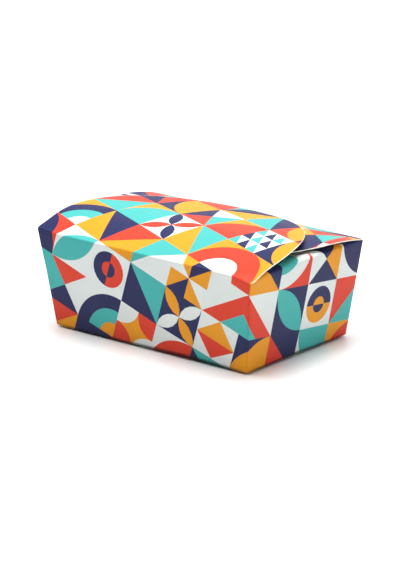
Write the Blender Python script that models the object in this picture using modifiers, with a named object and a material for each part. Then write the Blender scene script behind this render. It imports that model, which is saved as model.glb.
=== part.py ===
"""Shut one-piece takeaway carton: a tapered tub of folded board whose two
long walls carry rounded lid flaps.  The flaps lie over each other in a low
arch above the folded-in end flaps.  The carton is shut and cannot be seen
into, so it is one solid.

Units are metres, +Z is up.  The origin is the middle of the base, the long
side runs along X and the front wall faces -Y.
"""
import math

import bmesh
import bpy

# ---------------------------------------------------------------- sizes (m)
L_TOP = 0.200            # length at the rim creases
W_TOP = 0.130            # width at the rim creases
L_BASE = 0.1806          # length of the base
W_BASE = 0.1146          # width of the base
H_RIM = 0.0744           # height of the rim creases over the floor

BOARD = 0.0006           # thickness of the folding board
CREASE = 0.0008          # softness of the wall and base creases

# lid flaps: hinge as long as the rim, sides that belly out a little and then
# run together in a wide round tongue
FLAP_BULGE = 0.0020      # how far the sides stand out past the rim's ends
FLAP_STRAIGHT = 0.026    # length of the sides before they round over
FLAP_REACH = 0.1235      # from the hinge crease to the tip of the tongue

FRONT_RISE = 0.0112      # top of the front flap's arch over the rim
FRONT_TOP_AT = 0.064     # distance from the crease where it is highest
FRONT_TIP = 0.0052       # height of its free tip over the rim
REAR_RISE = 0.0056       # top of the rear flap's arch
REAR_TOP_AT = 0.042
REAR_TIP = 0.0010

END_RISE = 0.0044        # how far the folded-in end flaps spring up
END_RUN = 0.017          # distance from the fold where they are level

LEDGE = 0.00025          # the flaps start this far inside the rim
PAD_INSET = 0.0080       # the closed middle stays this far inside a flap
TIP_FLAT = 0.010         # half the length of a flap's last, straight edge


# ---------------------------------------------------------------- profiles
def front_rise(d):
    """Height over the rim of the front flap, d from its crease."""
    if d <= FRONT_TOP_AT:
        return FRONT_RISE * math.sin(0.5 * math.pi * max(d, 0.0) / FRONT_TOP_AT)
    t = (d - FRONT_TOP_AT) / (FLAP_REACH - FRONT_TOP_AT)
    return FRONT_RISE - (FRONT_RISE - FRONT_TIP) * t * t


def rear_rise(d):
    """Height over the rim of the rear flap, d from its crease."""
    if d <= REAR_TOP_AT:
        return REAR_RISE * math.sin(0.5 * math.pi * max(d, 0.0) / REAR_TOP_AT)
    t = (d - REAR_TOP_AT) / (FLAP_REACH - REAR_TOP_AT)
    return REAR_RISE - (REAR_RISE - REAR_TIP) * t * t


def flap_half_length(d, inset=0.0):
    """Half the length of a flap at the distance d from its crease."""
    reach = FLAP_REACH - inset
    full = 0.5 * L_TOP + FLAP_BULGE - inset
    if d < FLAP_STRAIGHT:
        t = d / FLAP_STRAIGHT
        return full - FLAP_BULGE * (1.0 - t) ** 2
    q = min((d - FLAP_STRAIGHT) / (reach - FLAP_STRAIGHT), 1.0)
    return full * math.sqrt(max(1.0 - q * q, 0.0))


def end_flap_rise(x, y):
    """Height over the rim of the folded-in end flaps and what they hold."""
    arch = max(1.0 - (2.0 * y / W_TOP) ** 2, 0.0)
    run = max(min((0.5 * L_TOP - abs(x)) / END_RUN, 1.0), 0.0)
    return END_RISE * arch * math.sin(0.5 * math.pi * run)


# ---------------------------------------------------------------- helpers
def clear_scene():
    for ob in list(bpy.data.objects):
        bpy.data.objects.remove(ob, do_unlink=True)


def new_collection(name):
    col = bpy.data.collections.new(name)
    bpy.context.scene.collection.children.link(col)
    return col


def mesh_object(bm, name, col):
    bmesh.ops.recalc_face_normals(bm, faces=bm.faces)
    me = bpy.data.meshes.new(name)
    bm.to_mesh(me)
    bm.free()
    ob = bpy.data.objects.new(name, me)
    col.objects.link(ob)
    return ob


def board_material():
    mat = bpy.data.materials.new("printed_board")
    mat.use_nodes = True
    bsdf = mat.node_tree.nodes["Principled BSDF"]
    bsdf.inputs["Base Color"].default_value = (0.80, 0.42, 0.12, 1.0)
    bsdf.inputs["Roughness"].default_value = 0.45
    bsdf.inputs["Metallic"].default_value = 0.0
    return mat


# ---------------------------------------------------------------- the tub
def make_tub(col):
    """Tapered box; its top face is raised into the folded-in end flaps."""
    bm = bmesh.new()
    bmesh.ops.create_cube(bm, size=1.0)
    for v in bm.verts:
        if v.co.z > 0.0:
            v.co = (math.copysign(0.5 * L_TOP, v.co.x),
                    math.copysign(0.5 * W_TOP, v.co.y), H_RIM)
        else:
            v.co = (math.copysign(0.5 * L_BASE, v.co.x),
                    math.copysign(0.5 * W_BASE, v.co.y), 0.0)
    soft = [e for e in bm.edges
            if min(v.co.z for v in e.verts) < 0.5 * H_RIM]
    bmesh.ops.bevel(bm, geom=soft, offset=CREASE, segments=2, profile=0.5,
                    affect='EDGES')

    # cut the top into a grid, finer towards the ends where the flaps spring
    half = 0.5 * L_TOP
    cuts_x = [0.0]
    for part in (0.12, 0.30, 0.55, 0.80, 1.0):
        cuts_x += [half - END_RUN * part, -(half - END_RUN * part)]
    cuts_x += [half * 0.45, -half * 0.45]
    cuts_y = [0.5 * W_TOP * k / 6.0 for k in range(-5, 6)]
    for cut, normal in [(x, 'X') for x in cuts_x] + [(y, 'Y') for y in cuts_y]:
        top = [f for f in bm.faces
               if min(v.co.z for v in f.verts) > H_RIM - 1e-6]
        geom = set(top)
        for f in top:
            geom.update(f.edges)
            geom.update(f.verts)
        co = (cut, 0.0, 0.0) if normal == 'X' else (0.0, cut, 0.0)
        no = (1.0, 0.0, 0.0) if normal == 'X' else (0.0, 1.0, 0.0)
        bmesh.ops.bisect_plane(bm, geom=list(geom), dist=1e-7,
                               plane_co=co, plane_no=no)
    for v in bm.verts:
        if v.co.z > H_RIM - 1e-6:
            v.co.z += end_flap_rise(v.co.x, v.co.y)
    bmesh.ops.triangulate(bm, faces=[f for f in bm.faces
                                     if min(v.co.z for v in f.verts) > H_RIM - 1e-6])
    return mesh_object(bm, "carton", col)


# ---------------------------------------------------------------- lid flaps
def flap_surface(rise, side, inset, lift, nx, ny):
    """Grid bent into one lid flap.  side is -1 for the front crease and +1
    for the rear one; inset trims it all round except at its crease."""
    bm = bmesh.new()
    bmesh.ops.create_grid(bm, x_segments=nx, y_segments=ny, size=1.0)
    reach = FLAP_REACH - inset
    for v in bm.verts:
        u, w = v.co.x, 0.5 * (v.co.y + 1.0)
        # rows close up towards the tip, following the round end
        bend = math.sin(0.5 * math.pi * w)
        d = max(reach * (0.35 * w + 0.65 * bend), LEDGE)
        x = max(flap_half_length(d, inset), TIP_FLAT) * u
        y = side * (0.5 * W_TOP - d)
        v.co = (x, y, H_RIM + rise(d) + lift)
    return bm


def make_flap(name, rise, side, col):
    bm = flap_surface(rise, side, 0.0, -0.0001, 18, 20)
    ob = mesh_object(bm, name, col)
    if ob.data.polygons[len(ob.data.polygons) // 2].normal.z < 0.0:
        ob.data.flip_normals()
    solid = ob.modifiers.new("board", 'SOLIDIFY')
    solid.thickness = BOARD
    solid.offset = -1.0
    solid.use_even_offset = False
    return ob


def make_pad(name, rise, side, col):
    """What closes the space under a flap, set back from its free edges."""
    bm = flap_surface(rise, side, PAD_INSET, -0.0001 - 0.5 * BOARD, 12, 16)
    # keep the crease end of the pad inside the rim
    for v in bm.verts:
        limit = 0.5 * W_TOP - 0.0030
        if side * v.co.y > limit:
            v.co.y = side * limit
            v.co.z = H_RIM + rise(0.0030) - 0.0001 - 0.5 * BOARD
    res = bmesh.ops.extrude_face_region(bm, geom=list(bm.faces))
    for g in res["geom"]:
        if isinstance(g, bmesh.types.BMVert):
            g.co.z = H_RIM - 0.006
    return mesh_object(bm, name, col)


def hide_as_cutter(ob):
    ob.hide_render = True
    ob.display_type = 'WIRE'


def main():
    clear_scene()
    parts = new_collection("takeaway_carton")
    helpers = new_collection("carton_helpers")

    carton = make_tub(parts)
    carton.data.materials.append(board_material())

    joins = [
        make_pad("rear_pad", rear_rise, 1, helpers),
        make_flap("rear_flap", rear_rise, 1, helpers),
        make_pad("front_pad", front_rise, -1, helpers),
        make_flap("front_flap", front_rise, -1, helpers),
    ]
    for ob in joins:
        hide_as_cutter(ob)
        join = carton.modifiers.new("join_" + ob.name, 'BOOLEAN')
        join.operation = 'UNION'
        join.solver = 'EXACT'
        join.object = ob


main()
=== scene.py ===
"""Shut one-piece takeaway carton, made as the real one is: a flat blank of
printed board is cut out, and folded along its creases.

The blank is one flat drawing in millimetres.  Its outline, its creases and
the shapes of the print all go into one triangulation, each triangle takes one
ink, and a folding map then carries every point of the blank to its place on
the shut carton.  The board has a real thickness with a bare cut edge.
"""
import math
import random

import bpy
import numpy as np
from mathutils import Matrix, Vector
from mathutils.geometry import delaunay_2d_cdt


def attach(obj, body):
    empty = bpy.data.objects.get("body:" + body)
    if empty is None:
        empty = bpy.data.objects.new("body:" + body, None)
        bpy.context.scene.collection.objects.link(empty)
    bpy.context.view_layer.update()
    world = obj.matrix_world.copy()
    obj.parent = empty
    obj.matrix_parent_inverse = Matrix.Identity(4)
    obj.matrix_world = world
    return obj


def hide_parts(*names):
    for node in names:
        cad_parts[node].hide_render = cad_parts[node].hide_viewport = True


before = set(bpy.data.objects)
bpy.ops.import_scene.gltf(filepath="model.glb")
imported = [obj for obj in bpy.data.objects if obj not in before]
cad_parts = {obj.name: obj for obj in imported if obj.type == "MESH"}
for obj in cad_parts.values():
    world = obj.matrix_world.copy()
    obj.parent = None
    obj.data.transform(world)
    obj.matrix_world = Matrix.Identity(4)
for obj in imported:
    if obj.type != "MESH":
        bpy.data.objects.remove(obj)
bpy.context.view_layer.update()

MM = 0.001

# ------------------------------------------------------------- sizes (mm)
L_TOP, W_TOP = 200.0, 130.0          # at the rim creases
L_BASE, W_BASE = 180.6, 114.6        # at the base
H_RIM = 74.4                         # rim creases over the floor
BOARD = 0.62                         # thickness of the board
PRINT_DROP = 0.1                     # the lid's print lies this far under its CAD

FLAP_BULGE, FLAP_STRAIGHT, FLAP_REACH = 2.0, 26.0, 123.5
FRONT_RISE, FRONT_TOP_AT, FRONT_TIP = 11.2, 64.0, 5.2
REAR_RISE, REAR_TOP_AT, REAR_TIP = 5.6, 42.0, 1.0
END_SLOPE = math.tan(math.radians(38.0))   # how steeply the end flaps spring up
END_LENGTH, END_HALF = 34.0, 64.3
EDGE_WHITE = 0.28                    # ink that chips off along a cut edge
FOOT_SHADE_HEIGHT = 2.8                      # height of the band of painted shadow along the foot

CREASE_LONG = 0.9                    # softness of the creases, see rounded()
CREASE_END = 2.0                     # the end flaps' folds are the softest
CREASE_BASE = 1.5
CREASE_UPRIGHT = 1.1
SCORE = 0.20                         # depth of the scored lines beside a crease
# the base bulges, so its edges stand off the table: how far at each corner
BASE_LIFT = {(1, -1): 0.9, (-1, -1): 0.8, (1, 1): 0.9, (-1, 1): 0.8}


def front_rise(d):
    d = np.maximum(d, 0.0)
    up = FRONT_RISE * np.sin(0.5 * math.pi * np.minimum(d, FRONT_TOP_AT) / FRONT_TOP_AT)
    t = np.maximum(d - FRONT_TOP_AT, 0.0) / (FLAP_REACH - FRONT_TOP_AT)
    return up - (FRONT_RISE - FRONT_TIP) * t * t


def rear_rise(d):
    d = np.maximum(d, 0.0)
    up = REAR_RISE * np.sin(0.5 * math.pi * np.minimum(d, REAR_TOP_AT) / REAR_TOP_AT)
    t = np.maximum(d - REAR_TOP_AT, 0.0) / (FLAP_REACH - REAR_TOP_AT)
    return up - (REAR_RISE - REAR_TIP) * t * t


def smooth(x, a, b):
    t = np.clip((x - a) / (b - a), 0.0, 1.0)
    return t * t * (3.0 - 2.0 * t)


# distance along each lid flap's arch against the level distance from its crease
LEVEL = np.linspace(0.0, FLAP_REACH, 1236)


def run_along(rise):
    z = rise(LEVEL)
    return np.concatenate([[0.0], np.cumsum(np.hypot(np.diff(LEVEL), np.diff(z)))])


FRONT_RUN, REAR_RUN = run_along(front_rise), run_along(rear_rise)


# ------------------------------------------------------------- the walls
class Wall:
    """One wall with its flap over the rim crease and its part of the bottom.

    On the flat blank a point of the wall is (a, t): a along the rim crease,
    to the right as seen from outside, and t up from the crease, so that the
    wall has t < 0 and its flap has t > 0."""

    def __init__(self, name, half_top, half_base, out_top, out_base, along, out):
        self.name = name
        self.half_top, self.half_base = half_top, half_base
        self.out_top, self.out_base = out_top, out_base
        self.along = np.array([along[0], along[1], 0.0])
        self.out = np.array([out[0], out[1], 0.0])
        self.slant = math.hypot(H_RIM, out_top - out_base)
        self.side = math.atan2(half_top - half_base, self.slant)
        self.angle, self.origin = 0.0, np.zeros(2)

    def to_sheet(self, at):
        c, s = math.cos(self.angle), math.sin(self.angle)
        at = np.asarray(at, float)
        return self.origin + np.stack([at[..., 0] * c - at[..., 1] * s,
                                       at[..., 0] * s + at[..., 1] * c], -1)

    def to_wall(self, p):
        c, s = math.cos(self.angle), math.sin(self.angle)
        q = np.asarray(p, float) - self.origin
        return np.stack([q[..., 0] * c + q[..., 1] * s,
                         -q[..., 0] * s + q[..., 1] * c], -1)

    def attach(self, other, side):
        """Lays this wall on the sheet against other's left or right side."""
        self.angle = other.angle - side * (self.side + other.side)
        self.origin = np.zeros(2)
        corner = other.to_sheet([side * other.half_top, 0.0])
        self.origin = corner - self.to_sheet([-side * self.half_top, 0.0])


HT, HB = 0.5 * L_TOP, 0.5 * L_BASE
WT, WB = 0.5 * W_TOP, 0.5 * W_BASE
FRONT = Wall("front", HT, HB, WT, WB, (1, 0), (0, -1))
RIGHT = Wall("right", WT, WB, HT, HB, (0, 1), (1, 0))
BACK = Wall("back", HT, HB, WT, WB, (-1, 0), (0, 1))
LEFT = Wall("left", WT, WB, HT, HB, (0, -1), (-1, 0))
WALLS = [FRONT, RIGHT, BACK, LEFT]
RIGHT.attach(FRONT, 1)
BACK.attach(RIGHT, 1)
LEFT.attach(FRONT, -1)
for k, wall in enumerate(WALLS):
    wall.next = {1: WALLS[(k + 1) % 4], -1: WALLS[(k + 3) % 4]}
    wall.crease = CREASE_LONG if wall in (FRONT, BACK) else CREASE_END


def crease_softness(wall, a):
    """The end folds are soft in the middle and tight near the corners."""
    if wall.crease == CREASE_LONG:
        return np.full_like(a, CREASE_LONG)
    edge = np.maximum(wall.half_top - np.abs(a), 0.0)
    return CREASE_LONG + (CREASE_END - CREASE_LONG) * smooth(edge, 0.0, 13.0)


def end_flap(a, t, wall):
    """Level distance from the fold and height of a folded-in end flap.  It
    springs up until it bears on what lies over it."""
    y = a if wall is RIGHT else -a
    over_front = front_rise(WT + y) - 1.1
    over_rear = rear_rise(np.minimum(WT - y, 62.0)) - 1.1 - 2.2 * smooth(WT - y, 4.0, 30.0)
    k = 0.5
    top = -k * np.log(np.exp(-over_front / k) + np.exp(-over_rear / k))
    held = np.maximum(top, 0.12)
    s = t.copy()
    for _ in range(4):
        z = held * np.tanh(END_SLOPE * s / held)
        # level distance for the length t along the flap, to within a hair
        s = t - 0.42 * z * np.minimum(z / np.maximum(s, 1e-6), 1.0)
        s = np.where(t <= 0.0, t, np.maximum(s, 0.0))
    z = held * np.tanh(END_SLOPE * s / held) * (1.0 - 0.6 * smooth(s, 4.5, 14.0))
    return s, z + np.minimum(top, 0.0) * smooth(s, 0.0, 5.0)


def sharp_path(wall, a, t):
    """Distance out from the middle and height, with every crease sharp."""
    f = np.clip(-t / wall.slant, 0.0, 1.0)
    under = np.maximum(-wall.slant - t, 0.0)
    out = wall.out_top - (wall.out_top - wall.out_base) * f - under
    z = H_RIM * (1.0 - f)
    up = np.maximum(t, 0.0)
    if wall is FRONT:
        d = np.interp(up, FRONT_RUN, LEVEL)
        rise = front_rise(d)
    elif wall is BACK:
        d = np.interp(up, REAR_RUN, LEVEL)
        rise = rear_rise(d)
    else:
        d, rise = end_flap(a, up, wall)
    return out - d, z + rise


def rounded(wall, a, t, at, soft):
    """What a crease at t = at of that softness takes off the sharp path."""
    x = t - at
    near = np.abs(x) < soft
    u = np.clip((x + soft) / (2.0 * soft), 0.0, 1.0)
    o0, z0 = sharp_path(wall, a, at - soft)
    o1, z1 = sharp_path(wall, a, at + 0.0 * soft)
    o2, z2 = sharp_path(wall, a, at + soft)
    ob, zb = sharp_path(wall, a, t)
    do = (1 - u) ** 2 * o0 + 2 * u * (1 - u) * o1 + u * u * o2 - ob
    dz = (1 - u) ** 2 * z0 + 2 * u * (1 - u) * z1 + u * u * z2 - zb
    return np.where(near, do, 0.0), np.where(near, dz, 0.0)


def creases(wall, a, t):
    do1, dz1 = rounded(wall, a, t, 0.0, crease_softness(wall, a))
    do2, dz2 = rounded(wall, a, t, -wall.slant, np.full_like(a, CREASE_BASE))
    return do1 + do2, dz1 + dz2


# rim corners, how far each has sunk, how much softer its upright crease is and
# how far it is spread outwards along X
CORNERS = [(HT, -WT, 2.5, 1.0, 0.0), (-HT, -WT, -0.9, 0.0, 1.1), (HT, WT, 0.1, 0.0, 0.0),
           (-HT, WT, 0.3, 0.3, 0.3)]


def corner_sign(wall, side):
    at = wall.out_top * wall.out[:2] + side * wall.half_top * wall.along[:2]
    return int(math.copysign(1, at[0])), int(math.copysign(1, at[1]))


def softer_corner(wall, side):
    sx, sy = corner_sign(wall, side)
    return [c[3] for c in CORNERS if c[0] * sx > 0 and c[1] * sy > 0][0]


def settle(p):
    """What folding does to the whole carton: the rim sinks at its corners."""
    x, y, z = p[..., 0], p[..., 1], p[..., 2]
    weight = smooth(z, H_RIM - 17.0, H_RIM + 1.0)
    wider = smooth(z, H_RIM - 34.0, H_RIM)
    drop = np.zeros_like(z)
    aside = np.zeros_like(z)
    for cx, cy, sink, _, spread in CORNERS:
        near = np.exp(-((x - cx) ** 2 + (y - cy) ** 2) / 10.0 ** 2)
        drop += sink * near
        aside += math.copysign(spread, cx) * near
    out = p.copy()
    out[..., 2] -= weight * drop
    out[..., 0] += wider * aside
    return out


def give(wall, a, t):
    """Slight bow and waviness of a wall's face, nothing at its edges."""
    f = np.clip(-t / wall.slant, 0.0, 1.0)
    half = wall.half_top - (wall.half_top - wall.half_base) * f
    q = np.clip(a / half, -1.0, 1.0)
    inner = (1.0 - q * q) * np.sin(math.pi * f)
    k = WALLS.index(wall)
    bow = (0.55, 0.35, 0.5, 0.4)[k]
    wave = (0.10 * np.sin(a / 17.0 + 1.3 * k) + 0.08 * np.sin(a / 11.0 - t / 15.0 + k))
    out = inner * (bow + wave)
    # the scored lines beside the creases
    edge = half - np.abs(a)
    side_score = np.exp(-((edge - 1.75) / 0.42) ** 2) * smooth(f, 0.03, 0.07) * smooth(f, 0.97, 0.93)
    rim_score = np.exp(-((t + 1.55) / 0.38) ** 2) * smooth(edge, 2.0, 5.0)
    out = out - SCORE * (side_score + rim_score * (t < 0.0))
    # the bottom crease doesn't touch the table all along
    low = smooth(f, 0.72, 1.0)
    ends = [BASE_LIFT[corner_sign(wall, side)] for side in (-1, 1)]
    bump = (45.0, -8.0, 20.0, 12.0)[k]
    lift = (1.3, 0.7, 0.8, 0.6)[k] * np.exp(-((a - bump) / (0.48 * half)) ** 2) * (1 - q ** 4)
    lift = lift + ends[0] * 0.5 * (1 - q) + ends[1] * 0.5 * (1 + q)
    return out, lift * low * smooth(wall.slant + t, -44.0, -9.0)


def fold(wall, a, t):
    """From the flat blank to the outer face of the shut carton, in mm."""
    a, t = np.asarray(a, float), np.asarray(t, float)
    out, z = sharp_path(wall, a, t)
    do, dz = creases(wall, a, t)
    f = np.clip(-t / wall.slant, 0.0, 1.0)
    half = wall.half_top - (wall.half_top - wall.half_base) * f
    edge = np.clip(half - np.abs(a), 0.0, None)
    sign = np.where(a < 0, -1.0, 1.0)
    past = np.maximum(t, 0.0) + np.maximum(-wall.slant - t, 0.0)

    # upright creases
    extra = {side: softer_corner(wall, side) for side in (-1, 1)}
    soft = CREASE_UPRIGHT + np.where(a < 0, extra[-1], extra[1]) * smooth(-t, 14.0, 0.0)
    w = np.clip(0.5 * (1.0 - edge / soft), 0.0, 0.5)
    fade = np.clip(1.0 - past / 3.5, 0.0, 1.0) ** 2
    along = a + sign * fade * (edge - soft * (1.0 - w) ** 2) * (edge < soft)
    out = out - fade * soft * w * w

    # the wall next door pulls its rim and base creases in as well
    pull = np.clip(1.0 - (edge / 7.0) ** 2, 0.0, 1.0) ** 2
    fade = np.clip(1.0 - past / 4.5, 0.0, 1.0) ** 2
    across = np.zeros_like(a)
    dz_next = np.zeros_like(a)
    for side in (-1, 1):
        near = wall.next[side]
        here = (sign == side)
        t_near = np.clip(t, -wall.slant, 0.0) * near.slant / wall.slant
        half_near = near.half_top - (near.half_top - near.half_base) * f
        do_n, dz_n = creases(near, -side * half_near, t_near)
        across += np.where(here, do_n * side, 0.0)
        dz_next += np.where(here, dz_n, 0.0)
    along = along + across * pull * fade
    z = z + dz + dz_next * pull * fade
    bow, lift = give(wall, a, t)
    out = out + do + bow
    z = z + lift - PRINT_DROP * smooth(t, 0.0, 4.0)
    if wall is FRONT:
        # the flap's left side is pushed up a little more than its right side
        z = z + 1.3 * smooth(-a, 35.0, 100.0) * smooth(t, 0.0, 20.0) * smooth(t, 62.0, 26.0)
    p = along[..., None] * wall.along + out[..., None] * wall.out
    p[..., 2] += z
    return settle(p)


def fold_normal(wall, a, t):
    h = 0.04
    inward = np.where(a > 0, -h, h)
    da = (fold(wall, a + inward, t) - fold(wall, a, t)) / inward[..., None]
    dt = (fold(wall, a, t + h) - fold(wall, a, t - h)) / (2 * h)
    n = np.cross(da, dt)
    return n / np.maximum(np.linalg.norm(n, axis=-1, keepdims=True), 1e-9)


# ------------------------------------------------------------- the outline
def lid_side(run, inset, ear):
    """Half of a lid flap's outline from its crease to its tip.  Next to the
    crease the flap keeps a small ear that stands out past the corner."""
    reach, full = FLAP_REACH - inset, 0.5 * L_TOP + FLAP_BULGE - inset
    pts = []
    for d in (0.0, 0.5, 1.0, 1.6, 2.4, 3.4, 5.0, 7.0, 10.0, 14.0, 18.0, 22.0):
        out = ear * smooth(d, -0.4, 1.0) * (1.0 - smooth(d, 1.2, 14.0))
        if d == 0.0:
            out = 0.0
        pts.append((full - FLAP_BULGE * (1.0 - d / FLAP_STRAIGHT) ** 2 + out, d))
    for k in range(0, 45):
        phi = 0.5 * math.pi * k / 44.0
        pts.append((full * math.cos(phi), FLAP_STRAIGHT + (reach - FLAP_STRAIGHT) * math.sin(phi)))
    pts = np.array(pts)
    pts[:, 1] = np.interp(pts[:, 1], LEVEL, run)
    return pts


def end_outline(inset=0.0):
    pts = []
    for t in [0.0, 0.5, 1.1, 2.0, 4.0, 8.0, 12.0, 16.0] + list(np.linspace(20.0, END_LENGTH, 12)):
        u = max(t - 20.0, 0.0) / (END_LENGTH - 20.0)
        start = WT - END_HALF if t == 0.0 else 0.0
        pts.append((END_HALF + start - 0.30 * t - 24.0 * (1.0 - math.sqrt(max(1.0 - u * u, 0.0)))
                    - inset, t))
    pts = np.array(pts)
    pts[-1, 1] -= inset
    return pts


def mirrored(right, left=None):
    left = (right if left is None else left)[::-1].copy()
    left[:, 0] *= -1.0
    if abs(right[-1, 0]) < 1e-6:
        left = left[1:]
    return np.concatenate([right, left])


def lid_outline(wall, inset=0.0):
    run = FRONT_RUN if wall is FRONT else REAR_RUN
    right, left = (0.45, 0.62) if wall is FRONT else (0.6, 0.5)
    return mirrored(lid_side(run, inset, right), lid_side(run, inset, left))


def wall_polygon(wall):
    return np.array([(-wall.half_top, 0.0), (-wall.half_base, -wall.slant),
                     (wall.half_base, -wall.slant), (wall.half_top, 0.0)])


MITRE = 0.25


def base_polygon(wall):
    """The bottom is closed by four parts that meet on the diagonals."""
    deep = WB - 0.3
    w = wall.half_base
    tip = max(w - deep, 0.0)
    pts = [(-w, -wall.slant), (-w + MITRE, -wall.slant - 0.4)]
    if tip > 1.0:
        pts += [(-tip, -wall.slant - deep + 0.4), (tip, -wall.slant - deep + 0.4)]
    else:
        pts += [(-0.6, -wall.slant - deep + 1.2), (0.6, -wall.slant - deep + 1.2)]
    pts += [(w - MITRE, -wall.slant - 0.4), (w, -wall.slant)]
    return np.array(pts)


PANELS = []          # (wall, kind, polygon on the wall's own part of the blank)
for wall in WALLS:
    if wall in (FRONT, BACK):
        flap = lid_outline(wall)
    else:
        flap = mirrored(end_outline())
    PANELS.append((wall, "wall", wall_polygon(wall)))
    PANELS.append((wall, "flap", flap))
    PANELS.append((wall, "base", base_polygon(wall)))


def inside(poly, p):
    """Which of the points p are inside the polygon."""
    poly = np.asarray(poly, float)
    x, y = p[:, 0], p[:, 1]
    found = np.zeros(len(p), bool)
    x0, y0 = poly[-1]
    for x1, y1 in poly:
        if y0 != y1:
            hit = ((y1 > y) != (y0 > y)) & (x < (x0 - x1) * (y - y1) / (y0 - y1) + x1)
            found ^= hit
        x0, y0 = x1, y1
    return found


# ------------------------------------------------------------- the print
WHITE, NAVY, RED, YELLOW, TEAL, CUT, BACKING = range(7)
TILE = 34.4
TILT = math.radians(-20.2)
TILE_AT = np.array([-44.0, 3.5])     # one corner of the lattice, on the blank
TU = TILE * np.array([math.cos(TILT), math.sin(TILT)])
TV = TILE * np.array([-math.sin(TILT), math.cos(TILT)])


def arc(cx, cy, r, a0, a1, step=6.0):
    n = max(2, int(round(abs(a1 - a0) * max(r, 0.35) / step)))
    return [(cx + r * math.cos(math.radians(a0 + (a1 - a0) * k / n)),
             cy + r * math.sin(math.radians(a0 + (a1 - a0) * k / n))) for k in range(n + 1)]


def disc(cx, cy, r):
    return arc(cx, cy, r, 0, 360)[:-1]


def rect(x0, y0, x1, y1):
    return [(x0, y0), (x1, y0), (x1, y1), (x0, y1)]


# Each motif is a list of (shape, number of the colour), painted in order over
# colour 0, on a tile from (0, 0) to (1, 1), or on more tiles for the big ones.
def m_slope():
    return [([(0, 0), (1, 0), (0, 1)], 1)]


def m_sand():
    return [([(0, 0), (1, 0), (.5, .5)], 1), ([(0, 1), (1, 1), (.5, .5)], 1),
            ([(0, 0), (0, 1), (.5, .5)], 2)]


def m_four():
    return [([(0, 0), (1, 0), (.5, .5)], 1), ([(1, 0), (1, 1), (.5, .5)], 2),
            ([(1, 1), (0, 1), (.5, .5)], 3)]


def m_fan():
    return [(arc(0, 0, 1, 0, 90) + [(0, 0)], 1)]


def m_counter():
    return [(disc(.5, .5, .41), 1), (arc(.5, .5, .41, -90, 90), 2),
            (disc(.5, .5, .18), 2), (arc(.5, .5, .18, -90, 90), 1)]


def m_flower():
    leaf = arc(0, 0, .5, 0, 90, 9.0) + arc(.5, .5, .5, 180, 270, 9.0)[1:-1]
    # four leaves that meet in the middle of the tile
    flip = lambda q, sx, sy: [(1 - x if sx else x, 1 - y if sy else y) for x, y in q]
    leaf = [(0.5 - x, y) for x, y in leaf]
    return [(flip(leaf, 0, 0), 1), (flip(leaf, 1, 0), 2), (flip(leaf, 1, 1), 1), (flip(leaf, 0, 1), 2)]


def m_shards():
    got = []
    for x in range(3):
        for y in range(3):
            a, b, c = x / 3.0, y / 3.0, 1 / 3.0
            got.append(([(a, b), (a + c, b), (a, b + c)], 1 if (x + y) % 2 else 2))
    return got


def m_rings():
    return [(arc(0, 0, 1, 0, 90) + [(0, 0)], 1), (arc(0, 0, .68, 0, 90) + [(0, 0)], 2),
            (arc(0, 0, .36, 0, 90) + [(0, 0)], 3)]


def m_leaf():
    return [(arc(0, 0, 1, 0, 90) + arc(1, 1, 1, 180, 270)[1:-1], 1)]


def m_leaf_slope():
    return [([(0, 0), (1, 0), (0, 1)], 2)] + m_leaf()


def m_kite():
    return [([(.5, 0), (1, .5), (.5, 1), (0, .5)], 1),
            ([(.5, .5), (1, .5), (.5, 1), (0, .5)], 2)]


def m_bars():
    return [(rect(0, k * .25, 1, k * .25 + .125), 1) for k in range(4)]


def m_vane():
    return [([(0, 0), (.5, 0), (.5, .5)], 1), ([(1, 0), (1, .5), (.5, .5)], 2),
            ([(1, 1), (.5, 1), (.5, .5)], 1), ([(0, 1), (0, .5), (.5, .5)], 2)]


def m_moon():
    return [(disc(.5, .5, .40), 1), (arc(.5, .5, .40, -90, 90), 2)]


def m_petals():
    return [(arc(0, 0, .5, 0, 90) + [(0, 0)], 1), (arc(1, 0, .5, 90, 180) + [(1, 0)], 2),
            (arc(1, 1, .5, 180, 270) + [(1, 1)], 1), (arc(0, 1, .5, 270, 360) + [(0, 1)], 2)]


def m_peak():
    return [([(0, 0), (1, 0), (.5, 1)], 1), ([(.25, 0), (.75, 0), (.5, .5)], 2)]


def m_tents():
    return [([(0, 0), (1, 0), (.5, .5)], 1), ([(0, .5), (1, .5), (.5, 1)], 2)]


def m_seeds():
    return [(disc(.27, .27, .15), 1), (disc(.73, .73, .15), 1),
            (disc(.27, .73, .15), 2), (disc(.73, .27, .15), 2)]


def m_wings():
    return [([(0, 0), (.5, 0), (0, .5)], 1), ([(.5, 0), (1, 0), (.5, .5)], 2),
            ([(0, .5), (.5, .5), (0, 1)], 2), ([(.5, .5), (1, .5), (.5, 1)], 1)]


def b_pair():          # two tiles long
    return [(arc(.5, .5, .5, 90, 270) + arc(1.5, .5, .5, -90, 90), 1),
            (disc(.5, .5, .25), 2), (disc(1.5, .5, .25), 3)]


def b_ramp():
    return [([(0, 0), (2, 0), (0, 1)], 1)]


def b_roof():
    return [([(0, 0), (2, 0), (1, 1)], 1), ([(.5, 0), (1.5, 0), (1, .5)], 2)]


def b_hill():
    return [(arc(1, 0, 1, 0, 180), 1), (arc(1, 0, .52, 0, 180), 2)]


def s_fan():           # two by two tiles
    return [(arc(0, 0, 2, 0, 90) + [(0, 0)], 1), (arc(0, 0, 1.30, 0, 90) + [(0, 0)], 2),
            (arc(0, 0, .62, 0, 90) + [(0, 0)], 3)]


def s_star():
    return [([(0, 0), (2, 0), (1, 1)], 1), ([(2, 2), (0, 2), (1, 1)], 1),
            ([(0, 0), (0, 2), (1, 1)], 2), ([(2, 0), (2, 2), (1, 1)], 3)]


def s_leaf():
    return [(arc(0, 0, 2, 0, 90) + arc(2, 2, 2, 180, 270)[1:-1], 1),
            (arc(0, 0, 1.0, 0, 90) + [(0, 0)], 2)]


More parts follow.
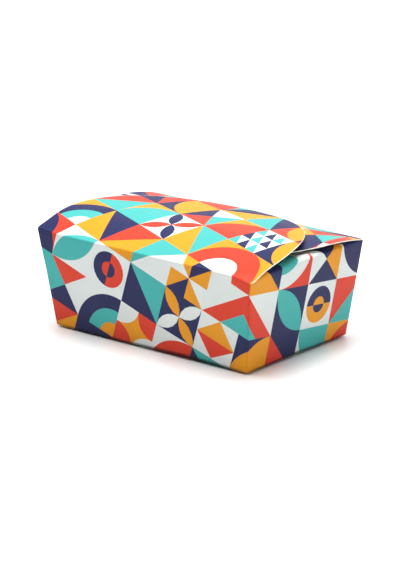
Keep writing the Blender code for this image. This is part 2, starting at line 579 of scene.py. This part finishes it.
SMALL = [m_slope, m_slope, m_sand, m_four, m_fan, m_rings, m_leaf, m_leaf_slope, m_kite,
         m_vane, m_moon, m_petals, m_peak, m_tents, m_seeds, m_wings, m_counter,
         m_flower, m_shards, m_bars]
LONG = [b_ramp, b_roof, b_hill, b_pair]
LARGE = [s_fan, s_star, s_leaf]
SHARES = {WHITE: .25, NAVY: .22, RED: .20, YELLOW: .17, TEAL: .16}
# Tiles that are given one by one: (i, j): (motif, turns, inks from the ground up)
PLAN = {
    # front wall and its corner
    (-2, -1): (m_fan, 0, (RED, NAVY)),
    (-2, -2): (m_slope, 0, (TEAL, WHITE)),
    (-1, -1): (m_leaf, 1, (WHITE, TEAL)),
    (-1, -2): (m_four, 0, (TEAL, NAVY, WHITE, RED)),
    (-1, -3): (m_slope, 1, (RED, YELLOW)),
    (0, -1): (m_counter, 0, (WHITE, NAVY, RED)),
    (0, -2): (m_rings, 1, (WHITE, NAVY, TEAL, YELLOW)),
    (1, -2): (m_petals, 0, (YELLOW, RED, WHITE)),
    (1, 0): (m_slope, 1, (TEAL, WHITE)),
    (1, -1): (m_slope, 0, (TEAL, NAVY)),
    (2, -1): (m_flower, 0, (NAVY, WHITE, YELLOW)),
    (2, -2): (m_fan, 1, (WHITE, RED)),
    (2, 0): (m_vane, 0, (YELLOW, NAVY, WHITE)),
    (3, -1): (m_kite, 0, (WHITE, RED, YELLOW)),
    (3, -2): (m_slope, 2, (NAVY, TEAL)),
    (3, 0): (b_roof, 0, (WHITE, RED, TEAL)),
    (4, -1): (m_fan, 1, (NAVY, YELLOW)),
    # right end
    (4, 1): (m_slope, 2, (YELLOW, NAVY)),
    (5, 0): (m_leaf, 0, (NAVY, TEAL)),
    (5, 1): (m_rings, 3, (RED, WHITE, TEAL, NAVY)),
    (5, -1): (m_slope, 2, (RED, NAVY)),
    (6, -1): (m_fan, 2, (WHITE, TEAL)),
    (6, 0): (m_counter, 1, (WHITE, YELLOW, NAVY)),
    (6, 1): (m_sand, 0, (YELLOW, NAVY, WHITE)),
    (7, 0): (m_slope, 1, (RED, TEAL)),
    (7, 1): (m_fan, 2, (WHITE, NAVY)),
    (7, -1): (m_leaf, 1, (YELLOW, RED)),
    (7, 2): (m_slope, 0, (RED, YELLOW)),
    (8, 2): (m_four, 0, (TEAL, RED, YELLOW, NAVY)),
    (7, 3): (m_leaf, 0, (RED, WHITE)),
    (8, 3): (m_fan, 0, (TEAL, NAVY)),
    # lid
    (-2, 0): (m_rings, 1, (YELLOW, NAVY, TEAL, WHITE)),
    (-1, 0): (m_slope, 2, (YELLOW, NAVY)),
    (-2, 1): (m_slope, 3, (TEAL, RED)),
    (-1, 1): (m_fan, 1, (YELLOW, TEAL)),
    (0, 0): (m_slope, 1, (RED, YELLOW)),
    (0, 1): (m_flower, 0, (WHITE, RED, NAVY)),
    (1, 1): (m_slope, 0, (TEAL, YELLOW)),
    (2, 1): (b_hill, 0, (YELLOW, RED, WHITE)),
    (0, 2): (m_four, 0, (NAVY, RED, TEAL, WHITE)),
    (1, 2): (m_fan, 1, (YELLOW, RED)),
    (2, 2): (m_shards, 0, (WHITE, NAVY, TEAL)),
    (3, 2): (m_leaf_slope, 0, (RED, YELLOW, NAVY)),
    (-2, 2): (m_slope, 0, (RED, NAVY)),
    (-1, 2): (m_fan, 2, (NAVY, YELLOW)),
    (-1, 3): (m_fan, 0, (TEAL, RED)),
    (0, 3): (m_slope, 1, (NAVY, YELLOW)),
    (1, 3): (m_slope, 2, (TEAL, NAVY)),
    (2, 3): (m_leaf, 0, (RED, YELLOW)),
    (10, 1): (m_slope, 2, (RED, TEAL)),
    (10, 2): (m_fan, 0, (YELLOW, NAVY)),
    (11, 1): (m_leaf, 0, (NAVY, YELLOW)),
    (11, 2): (m_slope, 1, (TEAL, RED)),
    # left end
    (-5, -3): (m_slope, 0, (NAVY, YELLOW)),
    (-5, -2): (m_leaf, 1, (TEAL, WHITE)),
    (-4, -4): (m_fan, 1, (WHITE, YELLOW)),
    (-4, -3): (m_shards, 0, (WHITE, NAVY, RED)),
    (-4, -2): (m_slope, 3, (RED, WHITE)),
    (-3, -4): (m_kite, 1, (NAVY, TEAL, WHITE)),
    (-3, -3): (m_slope, 1, (YELLOW, RED)),
    (-3, -2): (m_rings, 0, (RED, NAVY, WHITE, TEAL)),
    (-3, -1): (m_fan, 2, (NAVY, YELLOW)),
    (-2, -3): (m_leaf, 0, (WHITE, RED)),
    # back wall
    (8, 0): (m_moon, 0, (TEAL, WHITE, NAVY)),
    (8, 1): (m_leaf, 1, (NAVY, TEAL)),
    (9, 0): (m_slope, 3, (WHITE, NAVY)),
    (9, 1): (m_slope, 0, (YELLOW, TEAL)),
    (10, 0): (m_flower, 0, (RED, TEAL, WHITE)),
    (11, 0): (m_counter, 0, (NAVY, YELLOW, TEAL)),
    (12, 0): (m_slope, 1, (YELLOW, TEAL)),
    (12, 1): (m_fan, 3, (TEAL, RED)),
    (13, 1): (m_slope, 0, (NAVY, RED)),
    (13, 0): (m_fan, 0, (TEAL, YELLOW)),
    (13, -1): (m_slope, 1, (RED, YELLOW)),
    (8, -1): (m_slope, 2, (YELLOW, TEAL)),
    (9, -1): (m_fan, 1, (NAVY, TEAL)),
    (10, -1): (m_sand, 1, (NAVY, WHITE, RED)),
    (11, -1): (m_rings, 3, (WHITE, RED, YELLOW, NAVY)),
    (12, -1): (m_slope, 0, (NAVY, WHITE)),
}


def sheet_of_tile(q):
    q = np.asarray(q, float)
    return TILE_AT + q[..., :1] * TU + q[..., 1:] * TV


def tile_of_sheet(p):
    q = np.asarray(p, float) - TILE_AT
    return np.stack([q @ TU, q @ TV], -1) / TILE ** 2


def turned(shape, turns, w, h):
    """A shape turned by quarter turns in a block of w by h tiles."""
    q = np.array(shape, float) - (0.5 * w, 0.5 * h)
    for _ in range(turns % 4):
        q = np.stack([-q[:, 1], q[:, 0]], -1)
    if turns % 2 and w != h:
        w, h = h, w
    return q + (0.5 * w, 0.5 * h)


def needed_tiles():
    """The tiles that some panel of the blank reaches."""
    found = set()
    for wall, kind, poly in PANELS:
        lo, hi = poly.min(0), poly.max(0)
        gx, gy = np.meshgrid(np.arange(lo[0], hi[0], 1.5), np.arange(lo[1], hi[1], 1.5))
        p = np.stack([gx.ravel(), gy.ravel()], -1)
        p = p[inside(poly, p)]
        p = np.concatenate([p, poly])
        q = np.floor(tile_of_sheet(wall.to_sheet(p))).astype(int)
        found.update(map(tuple, q))
    return sorted(found)


def lay_out(seed):
    """One motif, its turn and its inks for each tile or block of tiles."""
    rng = random.Random(seed)
    tiles = needed_tiles()
    want = set(tiles)
    blocks, taken, ground = [], {}, {}

    def inks(around, n=4):
        left = [k for k in SHARES]
        got = []
        for k in range(n):
            weights = [SHARES[x] * (0.15 if k == 0 and x in around else 1.0) for x in left]
            x = rng.choices(left, weights)[0]
            left.remove(x)
            got.append(x)
        return got

    def place(i, j, w, h, motif, turns, colours):
        size = (w, h) if turns % 2 == 0 else (h, w)
        b = (i, j, size, motif, turns, colours)
        blocks.append(b)
        for x in range(size[0]):
            for y in range(size[1]):
                taken[i + x, j + y] = b
                ground[i + x, j + y] = colours[0]

    def free(i, j, w, h):
        return all((i + x, j + y) not in taken and (i + x, j + y) not in PLAN
                   for x in range(w) for y in range(h))

    for (i, j), (motif, turns, colours) in sorted(PLAN.items()):
        w, h = (2, 1) if motif in LONG else (2, 2) if motif in LARGE else (1, 1)
        place(i, j, w, h, motif, turns, colours)
    last = None
    for i, j in tiles:
        if (i, j) in taken:
            continue
        around = {ground.get((i - 1, j)), ground.get((i, j - 1)), ground.get((i - 1, j - 1))}
        colours = inks(around)
        roll = rng.random()
        if roll < 0.07 and free(i, j, 2, 2):
            place(i, j, 2, 2, rng.choice(LARGE), rng.randrange(4), colours)
        elif roll < 0.20 and free(i, j, 2, 1):
            place(i, j, 2, 1, rng.choice(LONG), rng.choice((0, 2)), colours)
        elif roll < 0.33 and free(i, j, 1, 2):
            place(i, j, 2, 1, rng.choice(LONG), rng.choice((1, 3)), colours)
        else:
            motif = rng.choice([m for m in SMALL if m is not last])
            last = motif
            place(i, j, 1, 1, motif, rng.randrange(4), colours)
    return blocks, taken


def shapes_of(block):
    """A block's shapes on the sheet, the lowest first."""
    i, j, size, motif, turns, colours = block
    base = (2, 1) if motif in LONG else (2, 2) if motif in LARGE else (1, 1)
    found = [(sheet_of_tile(np.array(rect(i, j, i + size[0], j + size[1]), float)), colours[0])]
    for shape, slot in motif():
        q = turned(shape, turns, *base) + (i, j)
        found.append((sheet_of_tile(q), colours[slot]))
    return found


# ------------------------------------------------------------- the blank's mesh
class Drawing:
    """Points and lines that go into the triangulation."""

    def __init__(self):
        self.points, self.lines = [], []

    def add(self, pts, closed=False):
        first = len(self.points)
        self.points.extend(map(tuple, pts))
        n = len(pts)
        self.lines.extend((first + k, first + k + 1) for k in range(n - 1))
        if closed:
            self.lines.append((first + n - 1, first))

    def dots(self, pts):
        self.points.extend(map(tuple, pts))


def cut_row(wall, poly, t, spacing, drawing):
    """A line along the crease direction at t, as far as the polygon reaches,
    with points on it."""
    xs = []
    n = len(poly)
    for k in range(n):
        (x0, y0), (x1, y1) = poly[k], poly[(k + 1) % n]
        if (y0 > t) != (y1 > t):
            xs.append(x0 + (x1 - x0) * (t - y0) / (y1 - y0))
    if len(xs) < 2:
        return
    lo, hi = min(xs), max(xs)
    count = max(2, int(round((hi - lo) / spacing)) + 1)
    row = np.stack([np.linspace(lo, hi, count), np.full(count, t)], -1)
    drawing.add(wall.to_sheet(row))


def dense(poly, step):
    """A polygon's outline with its long edges divided."""
    out = []
    n = len(poly)
    for k in range(n):
        p, q = np.array(poly[k]), np.array(poly[(k + 1) % n])
        m = max(1, int(math.ceil(np.linalg.norm(q - p) / step)))
        out.extend(p + (q - p) * i / m for i in range(m))
    return np.array(out)


def draw_blank():
    drawing = Drawing()
    for wall, kind, poly in PANELS:
        drawing.add(wall.to_sheet(dense(poly, 6.0)), closed=True)
        long_side = wall in (FRONT, BACK)
        if kind == "wall":
            near = (0.33, 0.65, 1.0, 1.3, 1.6, 2.2) if long_side else (0.5, 1.0, 1.5, 2.0, 2.6, 3.5, 5.0)
            for t in near:
                cut_row(wall, poly, -t, 6.0, drawing)
            for t in (0.3, 0.6, 0.95, 1.4, 1.9, 2.4, 3.0):
                cut_row(wall, poly, -wall.slant + t, 6.0, drawing)
            for edge in (0.45, 0.9, 1.35, 1.75, 2.2, 2.8, 4.2):
                for side in (-1, 1):
                    top = wall.half_top - edge
                    foot = wall.half_base - edge
                    n = 16
                    row = np.stack([side * np.linspace(top, foot, n),
                                    np.linspace(0.0, -wall.slant, n)], -1)
                    drawing.add(wall.to_sheet(row))
            step = 8.0
            for k, t in enumerate(np.arange(-8.0, -wall.slant + 4.0, -7.0)):
                half = wall.half_top + (wall.half_top - wall.half_base) * t / wall.slant - 6.0
                m = int(2 * half / step) + 1 + k % 2
                drawing.dots(wall.to_sheet(np.stack([np.linspace(-half, half, m),
                                                     np.full(m, t)], -1)))
        elif kind == "flap" and long_side:
            for t in [0.33, 0.65, 1.0, 1.4, 2.2, 3.5] + list(np.arange(6.0, poly[:, 1].max() - 1.0, 4.5)):
                cut_row(wall, poly, t, 7.0, drawing)
        elif kind == "flap":
            for t in (0.5, 1.0, 1.5, 2.0, 2.6, 3.3, 4.2, 5.2, 6.4, 8.0, 10.0, 12.5, 15.5, 19.0,
                      23.0, 27.0, 31.0):
                cut_row(wall, poly, t, 4.0, drawing)
        else:
            for t in (0.3, 0.6, 0.95, 3.0):
                cut_row(wall, poly, -wall.slant - t, 8.0, drawing)
            for s in np.arange(10.0, WB - 3.0, 10.0):
                cut_row(wall, poly, -wall.slant - s, 12.0, drawing)
        # the strip of chipped ink along the free edges of the flaps
        if kind == "flap":
            if long_side:
                strip = lid_outline(wall, EDGE_WHITE)
            else:
                strip = mirrored(end_outline(EDGE_WHITE))
            drawing.add(wall.to_sheet(strip))
        # finer points round the rim's corners, where the board gives
        if kind != "base":
            for side in (-1, 1):
                for r in (2.0, 4.5, 7.0, 10.0, 13.5, 17.5):
                    n = int(r * 1.6) + 4
                    ang = np.linspace(0, 2 * math.pi, n, endpoint=False) + r
                    p = np.stack([side * wall.half_top + r * np.cos(ang), r * np.sin(ang)], -1)
                    drawing.dots(wall.to_sheet(p[inside(poly, p)]))
    return drawing


def build_blank(seed):
    blocks, taken = lay_out(seed)
    drawing = draw_blank()
    printed = {}
    for block in blocks:
        shapes = shapes_of(block)
        printed[id(block)] = shapes
        for poly, ink in shapes:
            drawing.add(poly, closed=True)
    points = [Vector(p) for p in drawing.points]
    verts, _, faces, _, _, _ = delaunay_2d_cdt(points, drawing.lines, [], 0, 2e-4, False)
    verts = np.array([tuple(v) for v in verts])
    faces = np.array([f for f in faces if len(f) == 3])
    p, q, r = (verts[faces[:, k]] for k in range(3))
    area = 0.5 * ((q - p)[:, 0] * (r - p)[:, 1] - (q - p)[:, 1] * (r - p)[:, 0])
    faces[area < 0] = faces[area < 0][:, ::-1]
    keep = np.abs(area) > 1e-6
    faces, area = faces[keep], np.abs(area[keep])
    middle = verts[faces].mean(1)

    panel = np.full(len(faces), -1)
    for k, (wall, kind, poly) in enumerate(PANELS):
        at = wall.to_wall(middle)
        panel[inside(poly, at)] = k
    keep = panel >= 0
    faces, middle, panel, area = faces[keep], middle[keep], panel[keep], area[keep]

    ink = np.zeros(len(faces), int)
    tile = np.floor(tile_of_sheet(middle)).astype(int)
    groups = {}
    for k, ij in enumerate(map(tuple, tile)):
        groups.setdefault(ij, []).append(k)
    for ij, which in groups.items():
        block = taken.get(ij)
        if block is None:
            continue
        which = np.array(which)
        for poly, colour in printed[id(block)]:
            ink[which[inside(poly, middle[which])]] = colour
    # the chipped strip along the flaps' edges
    for k, (wall, kind, poly) in enumerate(PANELS):
        if kind != "flap":
            continue
        which = np.nonzero(panel == k)[0]
        if wall in (FRONT, BACK):
            strip = lid_outline(wall, EDGE_WHITE)
        else:
            strip = mirrored(end_outline(EDGE_WHITE))
        at = wall.to_wall(middle[which])
        ink[which[~inside(strip, at)]] = CUT
    return verts, faces, panel, ink, area


def build_carton(seed):
    verts, faces, panel, ink, area = build_blank(seed)
    share = {k: round(float(area[ink == k].sum() / area.sum()), 3) for k in range(6)}
    print("blank:", len(verts), "points,", len(faces), "triangles, ink shares", share)

    # positions and normals of each point, from every wall that it belongs to
    count = len(verts)
    where = np.zeros((count, 3))
    crease_shade = np.zeros(count)
    foot = np.zeros(count)
    normal = np.zeros((count, 3))
    seen = np.zeros(count)
    local = {}
    for w, wall in enumerate(WALLS):
        own = np.array([PANELS[k][0] is wall for k in range(len(PANELS))])
        used = np.unique(faces[own[panel]])
        at = wall.to_wall(verts[used])
        pos = fold(wall, at[:, 0], at[:, 1])
        nor = fold_normal(wall, at[:, 0], at[:, 1])
        where[used] += pos
        normal[used] += nor
        if wall in (FRONT, BACK):
            # painted shade: the ink is made a little darker beside the upright folds, as the shade in the
            # crease
            f = np.clip(-at[:, 1] / wall.slant, 0.0, 1.0)
            edge = wall.half_top - (wall.half_top - wall.half_base) * f - np.abs(at[:, 0])
            crease_shade_mask = np.exp(-((edge - 0.85) / 0.75) ** 2) * (at[:, 1] < 0.0) * smooth(f, 0.0, 0.04)
            crease_shade[used] = np.maximum(crease_shade[used], crease_shade_mask)
        # and painted shadow darkens the rounded foot, which turns under into its own shade, most of all
        # between the corners
        along = np.clip(np.abs(at[:, 0]) / wall.half_base, 0.0, 1.0)
        up = at[:, 1] + wall.slant
        foot_shade_mask = smooth(up, -3.0, -1.0) * (1.0 - smooth(up, 1.3, FOOT_SHADE_HEIGHT))
        foot[used] = np.maximum(foot[used], foot_shade_mask * (1.0 - 0.75 * along ** 6))
        seen[used] += 1
        local[w] = dict(zip(used.tolist(), at))
    live = np.nonzero(seen)[0]
    where[live] /= seen[live, None]
    normal /= np.maximum(np.linalg.norm(normal, axis=1, keepdims=True), 1e-9)
    index = np.full(count, -1)
    index[live] = np.arange(len(live))
    faces_live = index[faces]
    outer = where[live]
    nrm = normal[live]
    inner = outer - BOARD * nrm
    n = len(live)

    wall_of = np.array([WALLS.index(PANELS[k][0]) for k in panel])

    # cut edges
    edges = {}
    for f, (a, b, c) in enumerate(faces_live.tolist()):
        for p, q in ((a, b), (b, c), (c, a)):
            edges.setdefault((min(p, q), max(p, q)), []).append((p, q, f))
    rim = [x[0] for x in edges.values() if len(x) == 1]

    all_verts = np.concatenate([outer, inner]) * MM
    polys = faces_live.tolist()
    polys += [[c + n, b + n, a + n] for a, b, c in faces_live.tolist()]
    polys += [[q, p, p + n, q + n] for p, q, _ in rim]
    me = bpy.data.meshes.new("carton_print")
    me.from_pydata(all_verts.tolist(), [], polys)
    slots = np.concatenate([ink, np.full(len(faces), BACKING), np.full(len(rim), CUT)])
    me.polygons.foreach_set("material_index", slots.astype(np.int32))
    me.polygons.foreach_set("use_smooth", np.ones(len(polys), bool))

    # normals: those of the folded surface on both faces, flat across a cut
    loops = []
    m = len(faces)
    flat_normals = []
    for a, b, c in faces_live.tolist():
        flat_normals += [nrm[a], nrm[b], nrm[c]]
    for a, b, c in faces_live.tolist():
        flat_normals += [-nrm[c], -nrm[b], -nrm[a]]
    for p, q, _ in rim:
        g = np.cross(outer[q] - outer[p], 0.5 * (nrm[p] + nrm[q]))
        g /= max(np.linalg.norm(g), 1e-9)
        flat_normals += [g] * 4
    me.normals_split_custom_set(np.array(flat_normals).tolist())
    # painted shade beside the upright folds, stored on the points for the inks
    layer = me.attributes.new("fold_painted_shade", "FLOAT", "POINT")
    layer.data.foreach_set("value", np.concatenate([crease_shade[live], np.zeros(n)]).astype(np.float32))
    # painted shadow along the foot, stored on the points for the inks
    layer = me.attributes.new("foot_painted_shade", "FLOAT", "POINT")
    layer.data.foreach_set("value", np.concatenate([foot[live], np.zeros(n)]).astype(np.float32))

    # the map: the four parts of the blank side by side, the backing smaller
    islands = [(103.0, 2.0), (273.0, -3.0), (103.0, 264.0), (273.0, 190.0)]
    span = 530.0
    uv = np.zeros((3 * m * 2 + 4 * len(rim), 2))
    k = 0
    flat = {w: {index[v]: xy for v, xy in local[w].items()} for w in local}

    def place(w, xy):
        ox, oy = islands[w]
        slant = WALLS[w].slant + WB
        return (xy[0] + ox + 4.0, xy[1] + oy + slant + 4.0)

    for f, tri in enumerate(faces_live.tolist()):
        w = wall_of[f]
        for v in tri:
            uv[k] = place(w, flat[w][v])
            k += 1
    small = 0.22
    spots = [(345.0, 20.0), (345.0, 90.0), (400.0, 20.0), (400.0, 90.0)]
    for f, (a, b, c) in enumerate(faces_live.tolist()):
        w = wall_of[f]
        for v in (c, b, a):
            xy = flat[w][v]
            uv[k] = (spots[w][0] + 24 + xy[0] * small, spots[w][1] + 30 + xy[1] * small)
            k += 1
    for p, q, f in rim:
        w = wall_of[f]
        pp, qq = np.array(place(w, flat[w][p])), np.array(place(w, flat[w][q]))
        d = qq - pp
        out = np.array([d[1], -d[0]]) / max(np.linalg.norm(d), 1e-6) * BOARD
        for xy in (qq, pp, pp + out, qq + out):
            uv[k] = xy
            k += 1
    layer = me.uv_layers.new(name="OFBake")
    layer.data.foreach_set("uv", (uv / span).ravel())
    print("map spans", uv.min(0).round(1), uv.max(0).round(1), "of", span)

    ob = bpy.data.objects.new("printed_carton", me)
    bpy.context.scene.collection.objects.link(ob)
    return ob


# ------------------------------------------------------------- materials
def linear(r, g, b):
    return tuple(((x / 255.0) / 12.92 if x <= 10 else ((x / 255.0 + 0.055) / 1.055) ** 2.4)
                 for x in (r, g, b)) + (1.0,)


INKS = {WHITE: ("print_white", linear(228, 235, 232)),
        NAVY: ("print_navy", linear(31, 36, 86)),
        RED: ("print_red", linear(224, 62, 38)),
        YELLOW: ("print_yellow", linear(236, 156, 24)),
        TEAL: ("print_teal", linear(69, 181, 176)),
        CUT: ("board_cut_edge", linear(250, 244, 232)),
        BACKING: ("board_inner_side", linear(206, 196, 180))}


def board_material(name, colour, kind):
    """Ink under a satin coat on smooth board, or the bare board itself."""
    mat = bpy.data.materials.new(name)
    mat.use_nodes = True
    nt = mat.node_tree
    nt.nodes.clear()
    out = nt.nodes.new("ShaderNodeOutputMaterial")
    bsdf = nt.nodes.new("ShaderNodeBsdfPrincipled")
    nt.links.new(bsdf.outputs[0], out.inputs[0])
    place = nt.nodes.new("ShaderNodeTexCoord")

    def noise(scale, detail, rough, stretch=(1, 1, 1)):
        mapping = nt.nodes.new("ShaderNodeMapping")
        mapping.inputs["Scale"].default_value = stretch
        node = nt.nodes.new("ShaderNodeTexNoise")
        node.inputs["Scale"].default_value = scale
        node.inputs["Detail"].default_value = detail
        node.inputs["Roughness"].default_value = rough
        nt.links.new(place.outputs["Object"], mapping.inputs["Vector"])
        nt.links.new(mapping.outputs["Vector"], node.inputs["Vector"])
        return node.outputs["Fac"]

    def ranged(value, low, high, a=0.3, b=0.7):
        node = nt.nodes.new("ShaderNodeMapRange")
        node.inputs["From Min"].default_value = a
        node.inputs["From Max"].default_value = b
        node.inputs["To Min"].default_value = low
        node.inputs["To Max"].default_value = high
        nt.links.new(value, node.inputs["Value"])
        return node.outputs[0]

    def times(x, y):
        node = nt.nodes.new("ShaderNodeMath")
        node.operation = "MULTIPLY"
        nt.links.new(x, node.inputs[0])
        nt.links.new(y, node.inputs[1])
        return node.outputs[0]

    printed = kind == "ink"
    # ink lies a little unevenly: broad drift, and a fine mottle of the board
    drift = ranged(noise(34.0, 2.0, 0.5), 0.985, 1.015)
    mottle = ranged(noise(1500.0, 2.0, 0.6), 0.975 if printed else 0.93, 1.02 if printed else 1.03)
    shade = times(drift, mottle)
    if printed:
        # painted shade: a little darker beside the upright folds
        fold_painted_shade = nt.nodes.new("ShaderNodeAttribute")
        fold_painted_shade.attribute_name = "fold_painted_shade"
        shade = times(shade, ranged(fold_painted_shade.outputs["Fac"], 1.0, 0.87, 0.0, 1.0))
        # painted shadow: the rounded foot is darkened to about a quarter of the ink's colour, as a
        # contact shadow
        foot_painted_shade = nt.nodes.new("ShaderNodeAttribute")
        foot_painted_shade.attribute_name = "foot_painted_shade"
        shade = times(shade, ranged(foot_painted_shade.outputs["Fac"], 1.0, 0.24, 0.0, 1.0))
    tint = nt.nodes.new("ShaderNodeVectorMath")
    tint.operation = "SCALE"
    tint.inputs[0].default_value = colour[:3]
    nt.links.new(shade, tint.inputs["Scale"])
    nt.links.new(tint.outputs[0], bsdf.inputs["Base Color"])

    base_rough = 0.40 if printed else 0.82
    nt.links.new(ranged(noise(90.0, 3.0, 0.6), base_rough - 0.04, base_rough + 0.05),
                 bsdf.inputs["Roughness"])
    bsdf.inputs["Specular IOR Level"].default_value = 0.18 if printed else 0.1
    bsdf.inputs["IOR"].default_value = 1.5

    # board fibres show through the coat as the faintest relief
    fibre = noise(900.0, 3.0, 0.62, (1.0, 0.45, 1.0))
    cloud = noise(160.0, 2.0, 0.5)
    bump1 = nt.nodes.new("ShaderNodeBump")
    bump1.inputs["Strength"].default_value = 0.10 if printed else 0.35
    bump1.inputs["Distance"].default_value = 0.00005
    nt.links.new(fibre, bump1.inputs["Height"])
    bump2 = nt.nodes.new("ShaderNodeBump")
    bump2.inputs["Strength"].default_value = 0.10
    bump2.inputs["Distance"].default_value = 0.00025
    nt.links.new(cloud, bump2.inputs["Height"])
    nt.links.new(bump1.outputs[0], bump2.inputs["Normal"])
    nt.links.new(bump2.outputs[0], bsdf.inputs["Normal"])
    return mat


carton = build_carton(11)
for slot in range(7):
    name, colour = INKS[slot]
    kind = "ink" if slot <= TEAL else "bare"
    carton.data.materials.append(board_material(name, colour, kind))
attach(carton, "root")
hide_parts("carton")


# ------------------------------------------------------------- floor
def make_floor():
    me = bpy.data.meshes.new("floor")
    s = 9.0
    me.from_pydata([(-s, -s, 0), (s, -s, 0), (s, s, 0), (-s, s, 0)], [], [(0, 1, 2, 3)])
    ob = bpy.data.objects.new("floor", me)
    bpy.context.scene.collection.objects.link(ob)
    mat = bpy.data.materials.new("floor_white")
    mat.use_nodes = True
    bsdf = mat.node_tree.nodes["Principled BSDF"]
    bsdf.inputs["Base Color"].default_value = (0.94, 0.94, 0.94, 1.0)
    bsdf.inputs["Roughness"].default_value = 0.30
    bsdf.inputs["Specular IOR Level"].default_value = 0.4
    # the far floor glows a little, as a studio's lit sweep does
    nt = mat.node_tree
    at = nt.nodes.new("ShaderNodeTexCoord")
    away = nt.nodes.new("ShaderNodeVectorMath")
    away.operation = "LENGTH"
    glow = nt.nodes.new("ShaderNodeMapRange")
    glow.interpolation_type = "SMOOTHSTEP"
    for key, value in (("From Min", 0.28), ("From Max", 1.25), ("To Min", 0.0), ("To Max", 0.92)):
        glow.inputs[key].default_value = value
    nt.links.new(at.outputs["Object"], away.inputs[0])
    nt.links.new(away.outputs["Value"], glow.inputs["Value"])
    nt.links.new(glow.outputs["Result"], bsdf.inputs["Emission Strength"])
    bsdf.inputs["Emission Color"].default_value = (1.0, 1.0, 1.0, 1.0)
    me.materials.append(mat)
    return ob


make_floor()


# ------------------------------------------------------------- light
def area_light(name, where, aim, size, watts, colour=(1, 1, 1)):
    data = bpy.data.lights.new(name, "AREA")
    data.shape = "RECTANGLE"
    data.size, data.size_y = size
    data.energy = watts
    data.color = colour
    ob = bpy.data.objects.new(name, data)
    bpy.context.scene.collection.objects.link(ob)
    ob.location = where
    ob.visible_camera = False
    ob.rotation_euler = (Vector(aim) - Vector(where)).to_track_quat("-Z", "Y").to_euler()
    return ob


area_light("softbox_top", (-0.055, 0.030, 1.25), (0, 0, 0.05), (1.30, 0.80), 29.3)
area_light("softbox_end", (1.6, -0.05, 0.75), (0, 0, 0.05), (0.8, 0.8), 3.3)
area_light("softbox_back", (-1.35, 1.60, 0.95), (0, 0, 0.08), (2.4, 1.7), 11.0)

world = bpy.data.worlds.new("studio")
bpy.context.scene.world = world
world.use_nodes = True
sky = world.node_tree.nodes["Background"]
sky.inputs["Color"].default_value = (1.0, 1.0, 1.0, 1.0)
sky.inputs["Strength"].default_value = 0.12
# what is seen of the studio is white, though it gives only a little light
seen = world.node_tree.nodes.new("ShaderNodeBackground")
seen.inputs["Color"].default_value = (1.0, 1.0, 1.0, 1.0)
seen.inputs["Strength"].default_value = 1.0
ray = world.node_tree.nodes.new("ShaderNodeLightPath")
which = world.node_tree.nodes.new("ShaderNodeMixShader")
world.node_tree.links.new(ray.outputs["Is Camera Ray"], which.inputs["Fac"])
world.node_tree.links.new(sky.outputs["Background"], which.inputs[1])
world.node_tree.links.new(seen.outputs["Background"], which.inputs[2])
world.node_tree.links.new(which.outputs["Shader"],
                          world.node_tree.nodes["World Output"].inputs["Surface"])
bpy.context.scene.view_settings.view_transform = "Standard"
bpy.context.scene.view_settings.look = "None"


# ------------------------------------------------------------- camera
def make_camera():
    az, el, roll = 0.6942260465, 0.3020650799, -0.0050185
    back = Vector((math.sin(az) * math.cos(el), -math.cos(az) * math.cos(el), math.sin(el)))
    right = (-back).cross(Vector((0, 0, 1))).normalized()
    up = right.cross(-back).normalized()
    c, s = math.cos(roll), math.sin(roll)
    x, y = c * right + s * up, c * up - s * right
    data = bpy.data.cameras.new("photo_view")
    data.sensor_fit = "HORIZONTAL"
    data.sensor_width = 36.0
    data.lens = 36.0 * 3733.0 / 400.0
    data.clip_start, data.clip_end = 0.1, 60.0
    ob = bpy.data.objects.new("photo_view", data)
    bpy.context.scene.collection.objects.link(ob)
    m = Matrix((x, y, back)).transposed().to_4x4()
    m.translation = (1.6659388, -2.0016873, 0.8469939)
    ob.matrix_world = m
    bpy.context.scene.camera = ob


make_camera()
